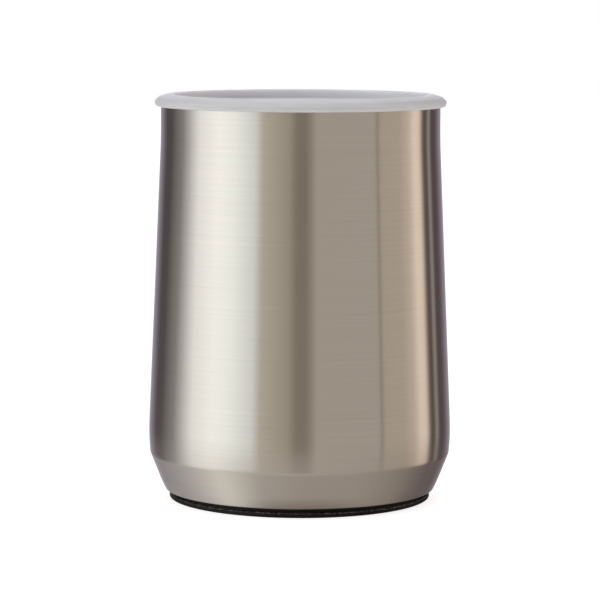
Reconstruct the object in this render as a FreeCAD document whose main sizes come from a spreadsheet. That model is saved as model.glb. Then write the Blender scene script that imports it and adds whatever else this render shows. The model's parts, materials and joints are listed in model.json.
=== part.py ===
"""Lidded, double-walled steel barrel: a brushed outer shell, a drawn liner, a sealed base, a rubber foot ring
and a frosted press-on lid.

Millimetres. The origin is the centre of the face that the barrel stands on, and +Z points up its axis.
Everything but the getter and its strap is turned about Z, so each outline below is half of a section:
a list of corners (radius, height, rounding), each written in the aliases of the sheet "dims".
"""

import FreeCAD
import Part
import Sketcher
import math
import os

V = FreeCAD.Vector

DIMENSIONS = [
    # alias, millimetres, what it is
    ("foot_r", 55.1, "outer radius of the rubber foot ring"),
    ("foot_in_r", 46.5, "inner radius of the foot ring"),
    ("foot_neck_r", 53.9, "radius of the shadow gap above the foot ring"),
    ("foot_step_z", 2.1, "height of the foot ring below its shadow gap"),
    ("foot_edge", 0.7, "rounding of the foot ring's lower edge"),
    ("foot_top_edge", 0.45, "rounding of the foot ring's upper edge"),
    ("grip_r", 49.0, "radius of the first grip groove"),
    ("grip_pitch", 2.0, "distance from one grip groove to the next"),
    ("grip_wide", 0.7, "width of a grip groove"),
    ("grip_deep", 0.45, "depth of a grip groove"),
    ("flange_z", 3.8, "underside of the shell's turned-in flange"),
    ("flange_in_r", 51.0, "radius of the hole in the turned-in flange"),
    ("cut_past", 1.0, "how far the cut of that hole runs past the sheet"),
    ("heel_r", 56.8, "radius where the chamfer meets the flange"),
    ("heel_round", 0.9, "rounding of that edge"),
    ("toe_r", 58.5, "radius at the chamfer's lower bend"),
    ("toe_z", 7.2, "height of the chamfer's lower bend"),
    ("toe_round", 55.0, "rounding of the chamfer's lower bend"),
    ("crease_r", 63.3, "radius at the crease above the chamfer"),
    ("crease_z", 19.3, "height of the crease"),
    ("crease_round", 4.0, "rounding of the crease"),
    ("belly_r", 64.0, "radius of the belly's corner before rounding"),
    ("belly_z", 26.8, "height of the belly's corner"),
    ("belly_round", 90.0, "rounding of the belly"),
    ("neck_r", 58.7, "outer radius of the shell's neck"),
    ("neck_z", 151.3, "height where the tapered wall meets the neck"),
    ("neck_round", 250.0, "rounding between the tapered wall and the neck"),
    ("shell_z", 167.0, "top edge of the shell"),
    ("shell_wall", 0.6, "thickness of the shell's sheet"),
    ("liner_r", 57.1, "outer radius of the liner"),
    ("liner_z", 10.5, "underside of the liner"),
    ("liner_round", 8.5, "outer rounding of the liner's bottom corner"),
    ("liner_wall", 0.5, "thickness of the liner's sheet"),
    ("hem_drop", 1.6, "how far the liner's hem hangs down outside the shell"),
    ("hem_round", 0.45, "rounding of the hem's upper edges"),
    ("plate_r", 54.4, "outer radius of the shell's bottom plate"),
    ("plate_wall", 0.6, "thickness of the bottom plate"),
    ("plate_step_r", 48.0, "radius where the bottom plate steps up"),
    ("plate_step", 1.5, "height of that step"),
    ("port_r", 5.6, "radius of the evacuation port's dimple"),
    ("port_rise", 1.4, "height of the dimple"),
    ("port_hole_r", 1.2, "radius of the evacuation hole"),
    ("seal_r", 4.1, "radius of the glass seal"),
    ("seal_drop", 1.1, "thickness of the glass seal below its hole"),
    ("foil_wall", 0.2, "thickness of the reflecting foil"),
    ("foil_low_z", 22.0, "lower edge of the foil"),
    ("foil_high_z", 146.0, "upper edge of the foil"),
    ("getter_x", 18.0, "distance of the getter from the axis"),
    ("getter_r", 5.0, "radius of the getter pellet"),
    ("getter_high", 3.0, "thickness of the getter pellet"),
    ("strap_gap", 0.2, "gap between the pellet and its strap"),
    ("strap_wide", 6.0, "width of the getter strap"),
    ("strap_wall", 0.3, "thickness of the getter strap"),
    ("strap_foot", 4.0, "length of each strap foot"),
    ("cap_r", 50.7, "radius of the base cap"),
    ("cap_gap", 0.15, "gap between the base cap and the foot ring"),
    ("cap_z", 3.6, "underside of the base cap's edge"),
    ("cap_wall", 0.5, "thickness of the base cap"),
    ("cap_step_r", 31.0, "radius where the base cap is dished"),
    ("cap_step", 0.7, "depth of that dish"),
    ("tape_in_r", 36.0, "inner radius of the adhesive ring"),
    ("tape_r", 43.0, "outer radius of the adhesive ring"),
    ("lid_lip_z", 165.25, "lower edge of the lid's skirt"),
    ("lid_lip_in_r", 59.4, "inner radius of the skirt's lip"),
    ("lid_lip_out_r", 60.3, "outer radius of the skirt's lower edge"),
    ("lid_lip_high", 0.7, "height of the skirt's lip"),
    ("lid_lip_rise", 0.5, "how much higher the lip's upper face is at the skirt"),
    ("lid_under_r", 60.95, "radius at the bend above the lip"),
    ("lid_under_z", 165.85, "height of that bend"),
    ("lid_bead_r", 61.25, "radius of the skirt's bead, the widest part of the lid"),
    ("lid_bead_z", 167.4, "height of the bead"),
    ("lid_bead_round", 0.6, "rounding of the bead"),
    ("lid_shoulder_r", 59.35, "radius where the sloping rim begins"),
    ("lid_shoulder_z", 169.2, "height where the sloping rim begins"),
    ("lid_crest_r", 56.2, "radius where the sloping rim meets the flat crest"),
    ("lid_crest_z", 170.2, "height of the crest"),
    ("lid_wall", 1.0, "thickness of the lid's walls"),
    ("lid_edge", 0.5, "rounding of the lid's free edges"),
    ("lid_inner_edge", 0.3, "rounding inside the hollow rim"),
    ("lid_roof_in_z", 169.3, "height of the hollow rim's roof at the plug"),
    ("lid_roof_out_z", 167.3, "height of the hollow rim's roof at the skirt"),
    ("lid_plug_r", 56.3, "outer radius of the plug that enters the mouth"),
    ("lid_plug_z", 162.6, "lower edge of the plug"),
    ("lid_well_r", 53.0, "radius of the well inside the crest"),
    ("lid_panel_z", 166.2, "upper face of the lid's panel"),
    ("lid_panel", 1.1, "thickness of the panel"),
    ("lid_disc_r", 41.0, "radius of the panel's raised centre"),
    ("lid_disc_rise", 0.5, "height of the raised centre"),
    ("gasket_in_r", 56.75, "inner radius of the gasket"),
    ("gasket_r", 59.1, "outer radius of the gasket"),
    ("gasket_edge", 0.2, "rounding of the gasket's lower edges"),
    ("gasket_gap", 0.1, "gap between the gasket and the rim of the mouth"),
]


def make_sheet(doc):
    sheet = doc.addObject("Spreadsheet::Sheet", "dims")
    for row, (alias, value, meaning) in enumerate(DIMENSIONS, start=1):
        sheet.set(f"A{row}", meaning)
        sheet.set(f"B{row}", str(value))
        sheet.setAlias(f"B{row}", alias)
    doc.recompute()


def in_sheet(expression):
    """The expression as FreeCAD reads it, with the sheet's name before each alias."""
    words = expression.replace("(", "( ").replace(")", " )").split()
    return " ".join("dims." + word if word[0].isalpha() else word for word in words)


def bind(sketch, constraint, name, expression):
    index = sketch.addConstraint(constraint)
    sketch.renameConstraint(index, name)
    sketch.setExpression("Constraints." + name, in_sheet(expression))


def pin_corner(sketch, geometry, place, number, point, radius, height):
    """Holds a corner at its radius and height, which are cells of the sheet."""
    if radius == "0":
        sketch.addConstraint(Sketcher.Constraint("PointOnObject", geometry, place, -2))
    else:
        bind(
            sketch,
            Sketcher.Constraint("DistanceX", -1, 1, geometry, place, point.x),
            f"radius_{number}",
            radius,
        )
    if height == "0":
        sketch.addConstraint(Sketcher.Constraint("PointOnObject", geometry, place, -1))
    else:
        bind(
            sketch,
            Sketcher.Constraint("DistanceY", -1, 1, geometry, place, point.y),
            f"height_{number}",
            height,
        )


def rounded(before, corner, after, radius):
    """The two tangent points and the centre of an arc that rounds a corner."""
    back = (before - corner).normalize()
    ahead = (after - corner).normalize()
    half = back.getAngle(ahead) / 2
    reach = radius / math.tan(half)
    centre = corner + (back + ahead).normalize() * (radius / math.sin(half))
    return corner + back * reach, corner + ahead * reach, centre


def draw_outline(sketch, outline):
    """Draws a closed outline of corners, with an arc tangent to both sides where a corner is rounded."""
    value = [[float(sketch.evalExpression(in_sheet(x))) for x in corner] for corner in outline]
    points = [V(corner[0], corner[1], 0) for corner in value]
    count = len(points)
    starts, ends, arcs = [], [], []
    for i, point in enumerate(points):
        if len(outline[i]) == 2:
            ends.append(point)
            starts.append(point)
            arcs.append(None)
            continue
        radius = value[i][2]
        leave, join, centre = rounded(points[i - 1], point, points[(i + 1) % count], radius)
        ends.append(leave)
        starts.append(join)
        arcs.append((leave, join, centre, radius))
    lines = [
        sketch.addGeometry(Part.LineSegment(starts[i], ends[(i + 1) % count]), False)
        for i in range(count)
    ]
    for i, arc in enumerate(arcs):
        arriving, leaving = lines[i - 1], lines[i]
        if arc is None:
            sketch.addConstraint(Sketcher.Constraint("Coincident", arriving, 2, leaving, 1))
            pin_corner(sketch, leaving, 1, i, points[i], *outline[i])
            continue
        leave, join, centre, radius = arc
        turn_left = (leave - centre).cross(join - centre).z > 0
        first, last = (leave, join) if turn_left else (join, leave)
        angles = [math.atan2(p.y - centre.y, p.x - centre.x) for p in (first, last)]
        circle = Part.Circle(centre, V(0, 0, 1), radius)
        curve = sketch.addGeometry(Part.ArcOfCircle(circle, angles[0], angles[1]), False)
        corner = sketch.addGeometry(Part.Point(points[i]), True)
        pin_corner(sketch, corner, 1, i, points[i], *outline[i][:2])
        for line in (arriving, leaving):
            sketch.addConstraint(Sketcher.Constraint("PointOnObject", corner, 1, line))
        place = (1, 2) if turn_left else (2, 1)
        sketch.addConstraint(Sketcher.Constraint("Tangent", arriving, 2, curve, place[0]))
        sketch.addConstraint(Sketcher.Constraint("Tangent", curve, place[1], leaving, 1))
        bind(sketch, Sketcher.Constraint("Radius", curve, radius), f"round_{i}", outline[i][2])


def plane_sketch(body, name, role):
    sketch = body.newObject("Sketcher::SketchObject", name)
    plane = next(f for f in body.Origin.OriginFeatures if f.Role == role)
    sketch.AttachmentSupport = (plane, [""])
    sketch.MapMode = "FlatFace"
    return sketch


def turn(body, name, outline, kind="PartDesign::Revolution"):
    """Adds (Revolution) or cuts (Groove) the solid that an outline sweeps about the axis."""
    sketch = plane_sketch(body, name + "_outline", "XZ_Plane")
    draw_outline(sketch, outline)
    feature = body.newObject(kind, name)
    feature.Profile = (sketch, [""])
    feature.ReferenceAxis = (sketch, ["V_Axis"])
    feature.Angle = 360
    sketch.Visibility = False
    body.Tip = feature
    body.Document.recompute()
    return feature


def new_body(doc, label):
    body = doc.addObject("PartDesign::Body", label)
    body.Label = label
    return body


def turned_body(doc, label, outline):
    body = new_body(doc, label)
    turn(body, label + "_turned", outline)
    return body


def top_face(shape):
    """The name of a solid's highest flat face."""
    flat = [i for i, face in enumerate(shape.Faces) if isinstance(face.Surface, Part.Plane)]
    highest = max(flat, key=lambda i: shape.Faces[i].CenterOfMass.z)
    return f"Face{highest + 1}"


def hollow(body, solid, wall):
    """Turns a solid into sheet of one thickness, open at its top face."""
    feature = body.newObject("PartDesign::Thickness", body.Name + "_sheet")
    feature.Base = (solid, [top_face(solid.Shape)])
    feature.Reversed = True
    feature.setExpression("Value", in_sheet(wall))
    body.Tip = feature
    body.Document.recompute()
    return feature


def outer_shell(doc):
    body = new_body(doc, "outer_shell")
    solid = turn(
        body,
        "shell_form",
        [
            ("0", "flange_z"),
            ("heel_r", "flange_z", "heel_round"),
            ("toe_r", "toe_z", "toe_round"),
            ("crease_r", "crease_z", "crease_round"),
            ("belly_r", "belly_z", "belly_round"),
            ("neck_r", "neck_z", "neck_round"),
            ("neck_r", "shell_z"),
            ("0", "shell_z"),
        ],
    )
    hollow(body, solid, "shell_wall")
    cut_low, cut_high = "flange_z - cut_past", "flange_z + shell_wall + cut_past"
    turn(
        body,
        "flange_opening",
        [("0", cut_low), ("flange_in_r", cut_low), ("flange_in_r", cut_high), ("0", cut_high)],
        "PartDesign::Groove",
    )
    return body


def inner_liner(doc):
    body = new_body(doc, "inner_liner")
    rim = "shell_z + liner_wall"
    solid = turn(
        body,
        "liner_form",
        [("0", "liner_z"), ("liner_r", "liner_z", "liner_round"), ("liner_r", rim), ("0", rim)],
    )
    hollow(body, solid, "liner_wall")
    turn(
        body,
        "hem",
        [
            ("liner_r - liner_wall / 2", "shell_z"),
            ("neck_r", "shell_z"),
            ("neck_r", "shell_z - hem_drop"),
            ("neck_r + liner_wall", "shell_z - hem_drop"),
            ("neck_r + liner_wall", rim, "hem_round"),
            ("liner_r - liner_wall / 2", rim),
        ],
    )
    return body


def bottom_plate(doc):
    low = "flange_z + shell_wall"
    high = low + " + plate_step"
    top = high + " + port_rise"
    return turned_body(
        doc,
        "bottom_plate",
        [
            ("plate_r", low),
            ("plate_r", low + " + plate_wall"),
            ("plate_step_r", low + " + plate_wall", "2 * plate_wall"),
            ("plate_step_r - 2 * plate_step", high + " + plate_wall", "2 * plate_wall"),
            ("port_r + plate_wall", high + " + plate_wall"),
            ("port_r", top + " + plate_wall"),
            ("port_hole_r", top + " + plate_wall"),
            ("port_hole_r", top),
            ("port_r - plate_wall", top),
            ("port_r", high),
            ("plate_step_r - 2 * plate_step", high, "plate_wall"),
            ("plate_step_r", low, "plate_wall"),
        ],
    )


def port_seal(doc):
    ceiling = "flange_z + shell_wall + plate_step + port_rise"
    return turned_body(
        doc,
        "port_seal",
        [
            ("0", ceiling + " - seal_drop"),
            ("seal_r", ceiling + " - seal_drop", "seal_drop / 2"),
            ("seal_r", ceiling),
            ("port_hole_r", ceiling),
            ("port_hole_r", ceiling + " + plate_wall"),
            ("0", ceiling + " + plate_wall"),
        ],
    )


def reflector_foil(doc):
    return turned_body(
        doc,
        "reflector_foil",
        [
            ("liner_r", "foil_low_z"),
            ("liner_r + foil_wall", "foil_low_z"),
            ("liner_r + foil_wall", "foil_high_z"),
            ("liner_r", "foil_high_z"),
        ],
    )


def getter_pellet(doc):
    pellet = doc.addObject("Part::Cylinder", "getter_pellet")
    pellet.setExpression("Radius", in_sheet("getter_r"))
    pellet.setExpression("Height", in_sheet("getter_high"))
    pellet.setExpression("Placement.Base.x", in_sheet("getter_x"))
    pellet.setExpression("Placement.Base.z", in_sheet("liner_z - getter_high"))
    return pellet


def getter_strap(doc):
    """A hat-shaped strap that holds the pellet against the liner, with two feet welded to it."""
    body = new_body(doc, "getter_strap")
    sketch = plane_sketch(body, "strap_outline", "XZ_Plane")
    inside, outside = "getter_r + strap_gap", "getter_r + strap_gap + strap_wall"
    reach = outside + " + strap_foot"
    web, foot = "liner_z - getter_high", "liner_z - strap_wall"
    half = [(reach, "liner_z"), (reach, foot), (outside, foot), (outside, web + " - strap_wall")]
    inner = [(inside, web), (inside, "liner_z")]
    right = [(f"getter_x + {x}", z) for x, z in half]
    left = [(f"getter_x - ( {x} )", z) for x, z in reversed(half)]
    back = [(f"getter_x - ( {x} )", z) for x, z in reversed(inner)]
    front = [(f"getter_x + {x}", z) for x, z in inner]
    draw_outline(sketch, right + left + back + front)
    pad = body.newObject("PartDesign::Pad", "strap_pad")
    pad.Profile = (sketch, [""])
    pad.Midplane = True
    pad.setExpression("Length", in_sheet("strap_wide"))
    body.Tip = pad
    return body


def base_cap(doc):
    top = "cap_z + cap_wall"
    inner = "cap_step_r - 2 * cap_step"
    return turned_body(
        doc,
        "base_cap",
        [
            ("0", "cap_z + cap_step"),
            (inner, "cap_z + cap_step", "cap_wall"),
            ("cap_step_r", "cap_z", "2 * cap_wall"),
            ("cap_r", "cap_z", "cap_wall / 3"),
            ("cap_r", top),
            ("cap_step_r", top, "cap_wall"),
            (inner, top + " + cap_step", "2 * cap_wall"),
            ("0", top + " + cap_step"),
        ],
    )


def cap_tape(doc):
    """A ring of adhesive foam between the base cap and the bottom plate."""
    low, high = "cap_z + cap_wall", "flange_z + shell_wall + plate_step"
    return turned_body(
        doc, "cap_tape", [("tape_in_r", low), ("tape_r", low), ("tape_r", high), ("tape_in_r", high)]
    )


def foot_ring(doc):
    lift = "cap_r + cap_gap"
    outline = [("foot_in_r", "0", "grip_deep")]
    for number in range(3):
        start = f"grip_r + {number} * grip_pitch"
        end = start + " + grip_wide"
        outline += [(start, "0"), (start, "grip_deep"), (end, "grip_deep"), (end, "0")]
    outline += [
        ("foot_r", "0", "foot_edge"),
        ("foot_r", "foot_step_z", "foot_top_edge"),
        ("foot_neck_r", "foot_step_z"),
        ("foot_neck_r", "flange_z"),
        (lift, "flange_z"),
        (lift, "cap_z"),
        ("foot_in_r", "cap_z", "grip_deep"),
    ]
    return turned_body(doc, "foot_ring", outline)


def lid_roof_at(radius):
    """The height of the hollow rim's sloping roof at a radius."""
    fall = "( lid_roof_in_z - lid_roof_out_z ) / ( lid_bead_r - lid_wall - lid_plug_r )"
    return f"lid_roof_in_z - {fall} * ( {radius} - lid_plug_r )"


def lid_cover(doc):
    """One moulding: a skirt with a lip, a sloping rim with a flat crest, a plug, and a well with a sunken panel."""
    under = "lid_panel_z - lid_panel"
    skirt = "lid_bead_r - lid_wall"
    lip_top = "lid_lip_z + lid_lip_high"
    disc_foot_r = "lid_disc_r + 2 * lid_disc_rise"
    outside = [
        ("lid_lip_in_r", "lid_lip_z", "gasket_edge"),
        ("lid_lip_out_r", "lid_lip_z", "lid_edge"),
        ("lid_under_r", "lid_under_z", "lid_edge"),
        ("lid_bead_r", "lid_bead_z", "lid_bead_round"),
        ("lid_shoulder_r", "lid_shoulder_z", "lid_edge"),
        ("lid_crest_r", "lid_crest_z", "lid_edge"),
        ("lid_well_r", "lid_crest_z", "lid_edge"),
    ]
    top = [
        ("lid_well_r", "lid_panel_z", "lid_wall"),
        (disc_foot_r, "lid_panel_z", "lid_wall"),
        ("lid_disc_r", "lid_panel_z + lid_disc_rise", "lid_wall"),
        ("0", "lid_panel_z + lid_disc_rise"),
    ]
    bottom = [
        ("0", under + " + lid_disc_rise"),
        ("lid_disc_r - lid_disc_rise", under + " + lid_disc_rise", "lid_wall"),
        (disc_foot_r + " - lid_disc_rise", under, "lid_wall"),
        ("lid_well_r + lid_wall", under, "lid_edge"),
        ("lid_well_r + lid_wall", "lid_crest_z - lid_wall", "lid_inner_edge"),
        ("lid_plug_r - lid_wall", "lid_crest_z - lid_wall", "lid_inner_edge"),
        ("lid_plug_r - lid_wall", "lid_plug_z", "lid_inner_edge"),
        ("lid_plug_r", "lid_plug_z", "lid_inner_edge"),
    ]
    channel = [
        ("lid_plug_r", "lid_roof_in_z", "lid_inner_edge"),
        (skirt, "lid_roof_out_z", "lid_inner_edge"),
        (skirt, lip_top + " + lid_lip_rise", "lid_inner_edge"),
        ("lid_lip_in_r", lip_top, "gasket_edge"),
    ]
    return turned_body(doc, "lid_cover", outside + top + bottom + channel)


def lid_gasket(doc):
    """A wedge of soft silicone that fills the hollow rim above the rim of the mouth."""
    low = "shell_z + liner_wall + gasket_gap"
    return turned_body(
        doc,
        "lid_gasket",
        [
            ("gasket_in_r", low, "gasket_edge"),
            ("gasket_r", low, "gasket_edge"),
            ("gasket_r", lid_roof_at("gasket_r")),
            ("gasket_in_r", lid_roof_at("gasket_in_r")),
        ],
    )


MAKERS = [
    outer_shell,
    inner_liner,
    bottom_plate,
    port_seal,
    reflector_foil,
    getter_pellet,
    getter_strap,
    base_cap,
    cap_tape,
    foot_ring,
    lid_cover,
    lid_gasket,
]


def main():
    doc = FreeCAD.newDocument("steel_barrel")
    make_sheet(doc)
    pieces = [make(doc) for make in MAKERS]
    doc.recompute()
    failed = [o.Label for o in doc.Objects if "Invalid" in o.State or "Error" in o.State]
    if failed:
        raise RuntimeError(f"these objects did not compute: {failed}")
    for piece in pieces:
        if piece.Shape.isNull() or not piece.Shape.isValid() or piece.Shape.Volume <= 0:
            raise RuntimeError(f"{piece.Label} has no valid solid")
    os.makedirs("parts", exist_ok=True)
    for piece in pieces:
        piece.Shape.exportStep(f"parts/{piece.Label}.step")
        box = piece.Shape.optimalBoundingBox(False)
        print(
            f"{piece.Label}: {len(piece.Shape.Solids)} solid, {piece.Shape.Volume / 1000:.2f} cm3, "
            f"z {box.ZMin:.2f} to {box.ZMax:.2f}, radius {box.XMax:.2f}"
        )


main()
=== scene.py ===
"""The looks of the lidded steel barrel.

Every turned piece is turned again, finely, from its own CAD section, and each piece gets a procedural
material. Then come the floor, the studio round it and the camera. Everything is in metres, in the frame of
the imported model.
"""

import json
import math

import bmesh
import bpy
from mathutils import Matrix, Vector


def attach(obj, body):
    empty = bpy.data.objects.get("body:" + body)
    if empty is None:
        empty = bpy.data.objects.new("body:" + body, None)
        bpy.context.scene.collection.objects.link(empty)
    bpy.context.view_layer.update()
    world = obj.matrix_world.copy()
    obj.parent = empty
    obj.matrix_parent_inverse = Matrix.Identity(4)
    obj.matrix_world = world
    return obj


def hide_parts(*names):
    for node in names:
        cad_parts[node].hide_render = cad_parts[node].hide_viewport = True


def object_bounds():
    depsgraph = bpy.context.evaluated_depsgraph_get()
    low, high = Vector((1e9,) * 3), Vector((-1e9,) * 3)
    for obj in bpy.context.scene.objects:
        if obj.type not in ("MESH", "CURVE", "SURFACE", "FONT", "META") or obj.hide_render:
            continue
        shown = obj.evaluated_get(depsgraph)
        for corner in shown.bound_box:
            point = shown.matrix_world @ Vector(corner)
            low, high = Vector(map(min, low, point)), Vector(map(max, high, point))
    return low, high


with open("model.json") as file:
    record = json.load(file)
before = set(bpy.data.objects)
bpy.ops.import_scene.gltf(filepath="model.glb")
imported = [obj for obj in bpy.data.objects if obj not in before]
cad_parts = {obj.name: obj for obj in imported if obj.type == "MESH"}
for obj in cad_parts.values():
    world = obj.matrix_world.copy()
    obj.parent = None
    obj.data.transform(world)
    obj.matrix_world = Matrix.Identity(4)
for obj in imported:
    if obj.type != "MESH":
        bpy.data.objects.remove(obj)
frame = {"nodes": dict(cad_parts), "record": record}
cad_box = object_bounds()

MM = 0.001
SEGMENTS = 288  # steps round a turned piece
SHARP = math.radians(28)  # an edge that turns more than this stays sharp
DIGITS = 7  # kept of a CAD coordinate, in metres
TOUCH = 10**-DIGITS  # a point nearer than this to a plane or to the axis is on it


# ---------------------------------------------------------------- shapes


def cad_section(node):
    """The outline (radius, height) of a turned CAD piece, read where its mesh meets the XZ plane.

    The outline is closed, unless the piece crosses its own axis: then it runs from axis to axis, and the flat
    discs at its two ends, which have no edge in that plane, are closed here.
    """
    vertices = frame["nodes"][node].data.vertices
    place = {
        v.index: (round(v.co.x, DIGITS), round(v.co.z, DIGITS))
        for v in vertices
        if abs(v.co.y) < TOUCH and v.co.x > -TOUCH
    }
    beside = {}
    for edge in frame["nodes"][node].data.edges:
        a, b = (place.get(i) for i in edge.vertices)
        if a and b and a != b:
            beside.setdefault(a, set()).add(b)
            beside.setdefault(b, set()).add(a)
    loose_ends = [point for point, others in beside.items() if len(others) == 1]
    start = min(loose_ends or beside)
    outline = [start]
    seen = {start}
    while True:
        ahead = [point for point in sorted(beside[outline[-1]]) if point not in seen]
        if not ahead and loose_ends:
            return [(0.0, outline[0][1]), *outline, (0.0, outline[-1][1])], False
        if not ahead:
            return outline, True
        outline.append(ahead[0])
        seen.add(ahead[0])


def turned(node):
    """A finely turned copy of a CAD piece, which it replaces."""
    outline, closed = cad_section(node)
    vertices, rings = [], []
    for radius, height in outline:
        steps = SEGMENTS if radius > TOUCH else 1
        rings.append(range(len(vertices), len(vertices) + steps))
        for step in range(steps):
            angle = math.tau * step / SEGMENTS
            vertices.append((radius * math.cos(angle), radius * math.sin(angle), height))
    faces = []
    pairs = list(zip(rings, rings[1:]))
    if closed:
        pairs.append((rings[-1], rings[0]))
    for here, there in pairs:
        for step in range(SEGMENTS):
            after = (step + 1) % SEGMENTS
            corners = (
                here[step % len(here)],
                here[after % len(here)],
                there[after % len(there)],
                there[step % len(there)],
            )
            faces.append(tuple(dict.fromkeys(corners)))
    mesh = bpy.data.meshes.new(node + "_mesh")
    mesh.from_pydata(vertices, [], faces)
    form = bmesh.new()
    form.from_mesh(mesh)
    bmesh.ops.recalc_face_normals(form, faces=form.faces)
    form.to_mesh(mesh)
    form.free()
    mesh.shade_smooth()
    mesh.set_sharp_from_angle(angle=SHARP)
    piece = bpy.data.objects.new(node + "_turned", mesh)
    bpy.context.scene.collection.objects.link(piece)
    weighting = piece.modifiers.new("flat faces stay flat", "WEIGHTED_NORMAL")
    weighting.keep_sharp = True
    return piece


# ---------------------------------------------------------------- materials


def add(tree, kind, sockets=None, **settings):
    """A shader node. A socket's value is a number, a colour or another node's output."""
    node = tree.nodes.new("ShaderNode" + kind)
    for name, value in settings.items():
        setattr(node, name, value)
    for name, value in (sockets or {}).items():
        if isinstance(value, bpy.types.NodeSocket):
            tree.links.new(value, node.inputs[name])
        else:
            node.inputs[name].default_value = value
    return node


def math_node(tree, operation, a, b=0.0):
    return add(tree, "Math", {0: a, 1: b}, operation=operation).outputs["Value"]


def remap(tree, value, low, high, start=0.25, end=0.75):
    """A noise value between start and end, spread from low to high."""
    sockets = {"Value": value, "From Min": start, "From Max": end, "To Min": low, "To Max": high}
    return add(tree, "MapRange", sockets).outputs["Result"]


def mottle(tree, value, first, second, start=0.25, end=0.75):
    """A colour that goes from the first to the second as a noise value goes from start to end."""
    mix = add(tree, "Mix", data_type="RGBA")
    tree.links.new(remap(tree, value, 0, 1, start, end), mix.inputs[0])
    mix.inputs[6].default_value = (*first, 1)
    mix.inputs[7].default_value = (*second, 1)
    return mix.outputs[2]


def shades(colour, spread):
    """A colour a little darker and a little lighter."""
    return [c * (1 - spread) for c in colour], [min(1.0, c * (1 + spread)) for c in colour]


def new_material(name):
    material = bpy.data.materials.new(name)
    material.use_nodes = True
    tree = material.node_tree
    tree.nodes.clear()
    return material, tree


def surface(tree, sockets):
    """The material's shader, joined to its output."""
    shader = add(tree, "BsdfPrincipled", sockets)
    output = add(tree, "OutputMaterial")
    tree.links.new(shader.outputs["BSDF"], output.inputs["Surface"])


def place_in_piece(tree):
    return add(tree, "TexCoord").outputs["Object"]


def noise(tree, vector, scale, detail=3.0, roughness=0.55):
    sockets = {"Vector": vector, "Scale": scale, "Detail": detail, "Roughness": roughness}
    return add(tree, "TexNoise", sockets).outputs["Fac"]


RADIUS_SHARE = 0.73  # of the radius, added to the height, so that lines show on flat faces too


def turning_lines(tree, pitch, length):
    """Noise drawn out round the axis, as a brush or a lathe leaves it: pitch apart and about length long."""
    parts = add(tree, "SeparateXYZ", {"Vector": place_in_piece(tree)})
    x, y, z = (parts.outputs[axis] for axis in "XYZ")
    flat = add(tree, "CombineXYZ", {"X": x, "Y": y}).outputs["Vector"]
    radius = add(tree, "VectorMath", {0: flat}, operation="LENGTH").outputs["Value"]
    across = math_node(tree, "ADD", z, math_node(tree, "MULTIPLY", radius, RADIUS_SHARE))
    lines = add(
        tree,
        "CombineXYZ",
        {
            "X": math_node(tree, "DIVIDE", x, length),
            "Y": math_node(tree, "DIVIDE", y, length),
            "Z": math_node(tree, "DIVIDE", across, pitch),
        },
    )
    return noise(tree, lines.outputs["Vector"], 1.0, 2.0)


def bump(tree, height, depth, strength=1.0):
    sockets = {"Height": height, "Distance": depth, "Strength": strength}
    return add(tree, "Bump", sockets).outputs["Normal"]


def brushed_steel(name, colour, roughness, anisotropy, line_depth, spread):
    """Steel brushed or turned round the axis: fine lines, broader streaks and faint smudges."""
    material, tree = new_material(name)
    fine = turning_lines(tree, 0.2 * MM, 60 * MM)
    broad = turning_lines(tree, 0.9 * MM, 120 * MM)
    smudge = noise(tree, place_in_piece(tree), 38.0, 4.0)
    fine_part = math_node(tree, "MULTIPLY", fine, 0.8)
    broad_part = math_node(tree, "MULTIPLY", broad, 0.2)
    streaks = math_node(tree, "ADD", fine_part, broad_part)
    dark, light = shades(colour, spread)
    brushed = remap(tree, fine, roughness - 0.015, roughness + 0.015)
    worn = remap(tree, smudge, -0.008, 0.012)
    tangent = add(tree, "Tangent", direction_type="RADIAL", axis="Z").outputs["Tangent"]
    surface(
        tree,
        {
            "Base Color": mottle(tree, streaks, dark, light, 0.35, 0.65),
            "Metallic": 1.0,
            "Roughness": math_node(tree, "ADD", brushed, worn),
            "Anisotropic": anisotropy,
            "Anisotropic Rotation": 0.25,
            "Tangent": tangent,
            "Normal": bump(tree, streaks, line_depth),
        },
    )
    return material


def frosted_plastic(name):
    """A milky moulding with an eroded, finely pitted skin and faint flow clouds."""
    material, tree = new_material(name)
    place = place_in_piece(tree)
    pits = noise(tree, place, 2600.0, 2.0)
    clouds = noise(tree, place, 55.0, 4.0)
    scuffs = turning_lines(tree, 0.9 * MM, 18 * MM)
    dark, light = shades((0.87, 0.885, 0.925), 0.03)
    skin = math_node(tree, "ADD", pits, math_node(tree, "MULTIPLY", scuffs, 0.35))
    haze = math_node(tree, "MULTIPLY", math_node(tree, "ADD", clouds, scuffs), 0.5)
    surface(
        tree,
        {
            "Base Color": mottle(tree, clouds, dark, light),
            "Roughness": remap(tree, haze, 0.36, 0.5),
            "IOR": 1.49,
            "Subsurface Weight": 0.8,
            "Subsurface Radius": (0.004, 0.004, 0.004),
            "Subsurface Scale": 1.0,
            "Normal": bump(tree, skin, 0.02 * MM, 0.6),
        },
    )
    return material


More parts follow.
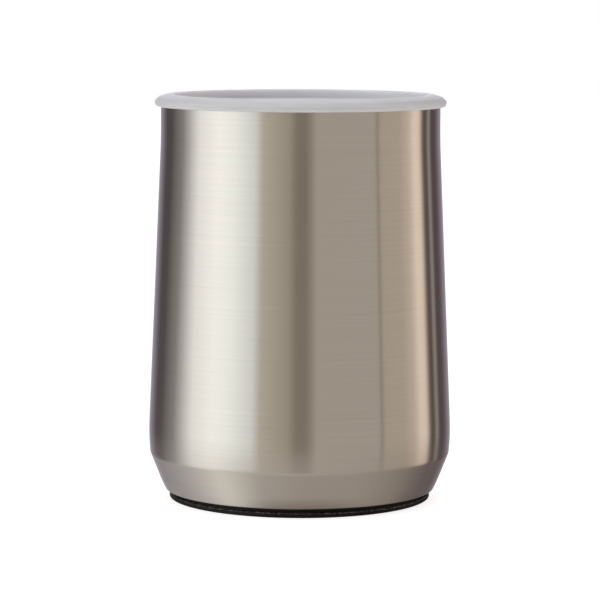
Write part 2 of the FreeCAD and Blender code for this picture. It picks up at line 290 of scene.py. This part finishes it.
def black_rubber(name):
    """Moulded rubber with a fine grain and a faint bloom; the light specks on the ledge above its lower step
    are partly dusting and partly a painted highlight.
    """
    material, tree = new_material(name)
    place = place_in_piece(tree)
    grain = noise(tree, place, 1900.0, 3.0)
    bloom = noise(tree, place, 90.0, 5.0)
    height = add(tree, "SeparateXYZ", {"Vector": place}).outputs["Z"]
    # the band just above the lower step, which carries the painted highlight
    above_ledge = remap(tree, height, 0.0, 1.0, 1.35 * MM, 1.85 * MM)
    below_gap = remap(tree, height, 1.0, 0.0, 2.1 * MM, 2.25 * MM)
    ledge = math_node(tree, "MULTIPLY", above_ledge, below_gap)
    specks = remap(tree, noise(tree, place, 600.0, 5.0, 0.65), 0.1, 1.0, 0.45, 0.65)
    dust_and_highlight = math_node(tree, "MULTIPLY", ledge, specks)
    rubber = mottle(tree, bloom, (0.003, 0.003, 0.003), (0.008, 0.007, 0.007))
    # painted highlight, partly dusting: light grey specks laid over the rubber in that band, standing in for
    # light catching the rounded top of the step
    rubber_dust_and_highlight = add(tree, "Mix", {0: dust_and_highlight, 6: rubber}, data_type="RGBA")
    rubber_dust_and_highlight.inputs[7].default_value = (0.12, 0.125, 0.125, 1)
    surface(
        tree,
        {
            "Base Color": rubber_dust_and_highlight.outputs[2],
            "Roughness": remap(tree, grain, 0.42, 0.62),
            "Specular IOR Level": 0.18,
            "Normal": bump(tree, grain, 0.04 * MM, 0.7),
        },
    )
    return material


def foil(name):
    """Thin bright foil with the creases of being wrapped by hand."""
    material, tree = new_material(name)
    place = place_in_piece(tree)
    creases = add(tree, "TexVoronoi", {"Vector": place, "Scale": 130.0}, feature="DISTANCE_TO_EDGE")
    ripple = noise(tree, place, 240.0, 3.0)
    folds = math_node(tree, "MINIMUM", creases.outputs["Distance"], 0.12)
    height = math_node(tree, "ADD", folds, math_node(tree, "MULTIPLY", ripple, 0.2))
    surface(
        tree,
        {
            "Base Color": mottle(tree, ripple, (0.74, 0.74, 0.75), (0.84, 0.84, 0.85)),
            "Metallic": 1.0,
            "Roughness": remap(tree, ripple, 0.16, 0.3),
            "Normal": bump(tree, height, 0.5 * MM, 0.6),
        },
    )
    return material


def sintered_metal(name):
    """A pressed and sintered pellet: dull grains of two greys with pores between them."""
    material, tree = new_material(name)
    place = place_in_piece(tree)
    grains = add(tree, "TexVoronoi", {"Vector": place, "Scale": 2600.0}, feature="F1")
    cloud = noise(tree, place, 700.0, 4.0)
    surface(
        tree,
        {
            "Base Color": mottle(tree, cloud, (0.09, 0.09, 0.10), (0.24, 0.235, 0.23)),
            "Metallic": 0.7,
            "Roughness": remap(tree, cloud, 0.6, 0.8),
            "Normal": bump(tree, grains.outputs["Distance"], 0.15 * MM),
        },
    )
    return material


def solder_glass(name):
    """Dark glass that melted into the port, with a few bubbles and a wavy skin."""
    material, tree = new_material(name)
    place = place_in_piece(tree)
    wave = noise(tree, place, 420.0, 2.0)
    bubbles = add(tree, "TexVoronoi", {"Vector": place, "Scale": 1500.0}, feature="SMOOTH_F1")
    surface(
        tree,
        {
            "Base Color": mottle(tree, wave, (0.05, 0.07, 0.06), (0.12, 0.15, 0.13)),
            "Roughness": remap(tree, bubbles.outputs["Distance"], 0.05, 0.22, 0.0, 0.6),
            "IOR": 1.6,
            "Transmission Weight": 0.35,
            "Normal": bump(tree, wave, 0.2 * MM, 0.5),
        },
    )
    return material


def silicone(name):
    """Milky silicone, soft and slightly tacky, with talc in its grain."""
    material, tree = new_material(name)
    place = place_in_piece(tree)
    talc = noise(tree, place, 800.0, 4.0)
    surface(
        tree,
        {
            "Base Color": mottle(tree, talc, (0.62, 0.63, 0.63), (0.74, 0.75, 0.75)),
            "Roughness": remap(tree, talc, 0.34, 0.52),
            "Subsurface Weight": 0.5,
            "Subsurface Radius": (0.003, 0.003, 0.003),
            "Subsurface Scale": 1.0,
            "Normal": bump(tree, talc, 0.02 * MM, 0.6),
        },
    )
    return material


def foam_tape(name):
    """Open-cell adhesive foam."""
    material, tree = new_material(name)
    place = place_in_piece(tree)
    cells = add(tree, "TexVoronoi", {"Vector": place, "Scale": 2200.0}, feature="F1").outputs["Distance"]
    stain = noise(tree, place, 120.0, 4.0)
    surface(
        tree,
        {
            "Base Color": mottle(tree, stain, (0.66, 0.62, 0.50), (0.80, 0.78, 0.70)),
            "Roughness": remap(tree, cells, 0.7, 0.9, 0.0, 0.6),
            "Normal": bump(tree, cells, 0.1 * MM),
        },
    )
    return material


SLOT_MATERIALS = {
    # the steels: colour, roughness, anisotropy, depth of the brush lines, and spread of their shade
    "brushed_shell_steel": brushed_steel(
        "shell brushed steel", (0.72, 0.70, 0.67), 0.16, 1.0, 0.0003 * MM, 0.03
    ),
    "polished_liner_steel": brushed_steel(
        "liner polished steel", (0.70, 0.69, 0.67), 0.20, 0.35, 0.001 * MM, 0.03
    ),
    "pressed_steel": brushed_steel("pressed steel", (0.52, 0.51, 0.49), 0.36, 0.2, 0.002 * MM, 0.08),
    "satin_cap_steel": brushed_steel("cap turned steel", (0.62, 0.61, 0.59), 0.30, 0.8, 0.002 * MM, 0.07),
    "sealing_glass": solder_glass("solder glass"),
    "foil": foil("reflector foil"),
    "sintered_getter": sintered_metal("sintered getter"),
    "adhesive": foam_tape("adhesive foam"),
    "black_rubber": black_rubber("black rubber"),
    "frosted_plastic": frosted_plastic("frosted plastic"),
    "clear_silicone": silicone("milky silicone"),
}


# ---------------------------------------------------------------- pieces

KEPT_FROM_CAD = ("getter_pellet", "getter_strap")  # not turned about the barrel's axis

slot_of = {part["node"]: part["material_slot"] for part in frame["record"]["subparts"]}
for body, nodes in frame["record"]["behaviour"]["bodies"].items():
    for node in nodes:
        material = SLOT_MATERIALS[slot_of[node]]
        if node in KEPT_FROM_CAD:
            frame["nodes"][node].material_slots[0].material = material
            continue
        piece = turned(node)
        piece.data.materials.append(material)
        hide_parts(node)
        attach(piece, body)


# ---------------------------------------------------------------- studio


def make_floor():
    """A lit sheet of white acrylic, wide enough to reach past the edges of every view."""
    mesh = bpy.data.meshes.new("floor_mesh")
    reach = 4.0
    corners = [(-reach, -reach, 0), (reach, -reach, 0), (reach, reach, 0), (-reach, reach, 0)]
    mesh.from_pydata(corners, [], [(0, 1, 2, 3)])
    floor = bpy.data.objects.new("floor", mesh)
    bpy.context.scene.collection.objects.link(floor)
    material, tree = new_material("floor acrylic")
    surface(
        tree,
        {
            "Base Color": (0.5, 0.5, 0.5, 1),
            "Roughness": 0.6,
            "Specular IOR Level": 0.2,
            "Emission Color": (1.0, 0.99, 0.98, 1),
            "Emission Strength": 0.8,
        },
    )
    mesh.materials.append(material)
    # what the barrel mirrors, and is lit by from below, is the table in the world's shader
    floor.visible_glossy = False
    floor.visible_diffuse = False


# What the steel mirrors: each line is a direction, in degrees round the barrel from the camera and positive
# to its right, and the radiance there. It fades from one line to the next.
STUDIO_RING = [
    (-175, (1.10, 1.10, 1.15)),  # backdrop
    (-166, (0.38, 0.35, 0.42)),
    (-155, (0.26, 0.23, 0.27)),
    (-142, (0.09, 0.08, 0.08)),  # black flag
    (-131, (0.09, 0.08, 0.08)),
    (-112, (0.28, 0.26, 0.25)),
    (-104, (0.52, 0.50, 0.49)),  # large softbox
    (-90, (1.05, 1.04, 1.01)),
    (-70, (1.26, 1.25, 1.21)),
    (-55, (1.15, 1.18, 1.13)),
    (-37, (0.86, 0.87, 0.84)),
    (-30, (0.55, 0.50, 0.42)),  # screen beside it
    (-9, (0.38, 0.34, 0.27)),
    (-3, (0.24, 0.20, 0.16)),  # the camera and its stand
    (4, (0.23, 0.19, 0.16)),
    (8, (0.30, 0.26, 0.21)),
    (13, (0.45, 0.40, 0.34)),  # warm screen
    (63, (0.46, 0.41, 0.36)),
    (65, (0.30, 0.25, 0.21)),  # its seam
    (68, (0.49, 0.42, 0.34)),
    (88, (0.52, 0.44, 0.36)),
    (98, (0.66, 0.54, 0.45)),  # warm reflector
    (106, (0.95, 0.80, 0.67)),
    (113, (0.91, 0.75, 0.62)),
    (119, (0.17, 0.14, 0.12)),  # black flags with a gap between them
    (124, (0.09, 0.07, 0.06)),
    (129, (0.36, 0.31, 0.28)),
    (135, (0.10, 0.08, 0.08)),
    (143, (0.10, 0.08, 0.08)),
    (160, (0.31, 0.26, 0.31)),
    (168, (0.38, 0.34, 0.41)),
    (177, (1.05, 1.05, 1.10)),  # backdrop again
]
TABLE_RING = [
    (-132, (0.40, 0.37, 0.37)),
    (-104, (0.56, 0.53, 0.51)),
    (-77, (0.80, 0.77, 0.69)),  # lit by the large softbox
    (-40, (0.52, 0.48, 0.43)),
    (0, (0.50, 0.44, 0.39)),
    (58, (0.41, 0.36, 0.31)),
    (104, (0.28, 0.24, 0.20)),
    (124, (0.16, 0.13, 0.13)),  # in the shade of the flags
]
TABLE_EDGE = (-8, -25)  # the ring fades into the table between these degrees above the horizon
SHADE_EDGE = (-53, -68)  # and the table into the barrel's own shade
SHADE = (0.25, 0.23, 0.22)  # which lets this share of the light through
TABLE_GLOW = (1.12, 1.14, 1.18)  # the table's radiance where it lights dull surfaces
OVERHEAD = (1.00, 1.03, 1.16)  # radiance of the softbox over the barrel
OVERHEAD_EDGE = (46, 58)
RAMP_SCALE = 1.3  # a ramp holds colours up to 1


def ring_of_light(tree, around, ring):
    """A ramp of radiances round the barrel, divided by RAMP_SCALE."""
    ramp = add(tree, "ValToRGB", {"Fac": around})
    stops = ramp.color_ramp.elements
    while len(stops) < len(ring):
        stops.new(0.5)
    for stop, (angle, colour) in zip(stops, ring):
        stop.position = (angle + 180) / 360
        stop.color = (*(c / RAMP_SCALE for c in colour), 1)
    return ramp.outputs["Color"]


def past(tree, height, edge):
    """How far a direction is past an edge: 0 at its first elevation and 1 at its second."""
    start, end = (math.sin(math.radians(elevation)) for elevation in edge)
    return remap(tree, height, 0.0, 1.0, start, end)


def make_world():
    """The studio as the barrel sees it. The camera itself sees plain white behind the floor."""
    world = bpy.data.worlds.new("studio")
    bpy.context.scene.world = world
    world.use_nodes = True
    tree = world.node_tree
    tree.nodes.clear()
    parts = add(tree, "SeparateXYZ", {"Vector": add(tree, "TexCoord").outputs["Generated"]})
    x, y, z = (parts.outputs[axis] for axis in "XYZ")
    turn = math_node(tree, "ARCTAN2", x, math_node(tree, "MULTIPLY", y, -1.0))
    around = remap(tree, turn, 0.0, 1.0, -math.pi, math.pi)
    ring = ring_of_light(tree, around, STUDIO_RING)
    table = ring_of_light(tree, around, TABLE_RING)
    in_shade = past(tree, z, SHADE_EDGE)
    shaded = add(tree, "Mix", {0: in_shade, 6: table}, data_type="RGBA", blend_type="MULTIPLY")
    shaded.inputs[7].default_value = (*SHADE, 1)
    rays = add(tree, "LightPath").outputs
    glow = add(tree, "Mix", {0: rays["Is Diffuse Ray"], 6: shaded.outputs[2]}, data_type="RGBA")
    glow.inputs[7].default_value = (*(c / RAMP_SCALE for c in TABLE_GLOW), 1)
    low = add(tree, "Mix", {0: past(tree, z, TABLE_EDGE), 6: ring, 7: glow.outputs[2]}, data_type="RGBA")
    whole = add(tree, "Mix", {0: past(tree, z, OVERHEAD_EDGE), 6: low.outputs[2]}, data_type="RGBA")
    whole.inputs[7].default_value = (*(c / RAMP_SCALE for c in OVERHEAD), 1)
    lit = add(tree, "Background", {"Color": whole.outputs[2], "Strength": RAMP_SCALE})
    plain = add(tree, "Background", {"Color": (1, 1, 1, 1), "Strength": 1.0})
    mix = add(tree, "MixShader", {0: rays["Is Camera Ray"], 1: lit.outputs[0], 2: plain.outputs[0]})
    tree.links.new(mix.outputs[0], add(tree, "OutputWorld").inputs["Surface"])


LENS = 176.7  # millimetres
SENSOR = 36.0  # its width, in millimetres
DISTANCE = 1.244  # from the camera to the point it looks at
AIM = 0.49  # height of that point, as a share of the barrel's height
DOWN = math.radians(6.25)  # how far the camera looks down
ROLL = math.radians(0.2)


def make_camera():
    """A long lens a little above the barrel's mouth, looking slightly down at its middle."""
    data = bpy.data.cameras.new("camera")
    data.lens = LENS
    data.sensor_width = SENSOR
    camera = bpy.data.objects.new("camera", data)
    bpy.context.scene.collection.objects.link(camera)
    height = cad_box[1].z - cad_box[0].z
    aim = Vector((0, 0, AIM * height))
    camera.location = aim + DISTANCE * Vector((0, -math.cos(DOWN), math.sin(DOWN)))
    tilt = Matrix.Rotation(math.pi / 2 - DOWN, 3, "X")
    roll = Matrix.Rotation(ROLL, 3, "Z")
    camera.rotation_euler = (tilt @ roll).to_euler()
    bpy.context.scene.camera = camera


make_floor()
make_world()
make_camera()
bpy.context.scene.view_settings.view_transform = "Standard"
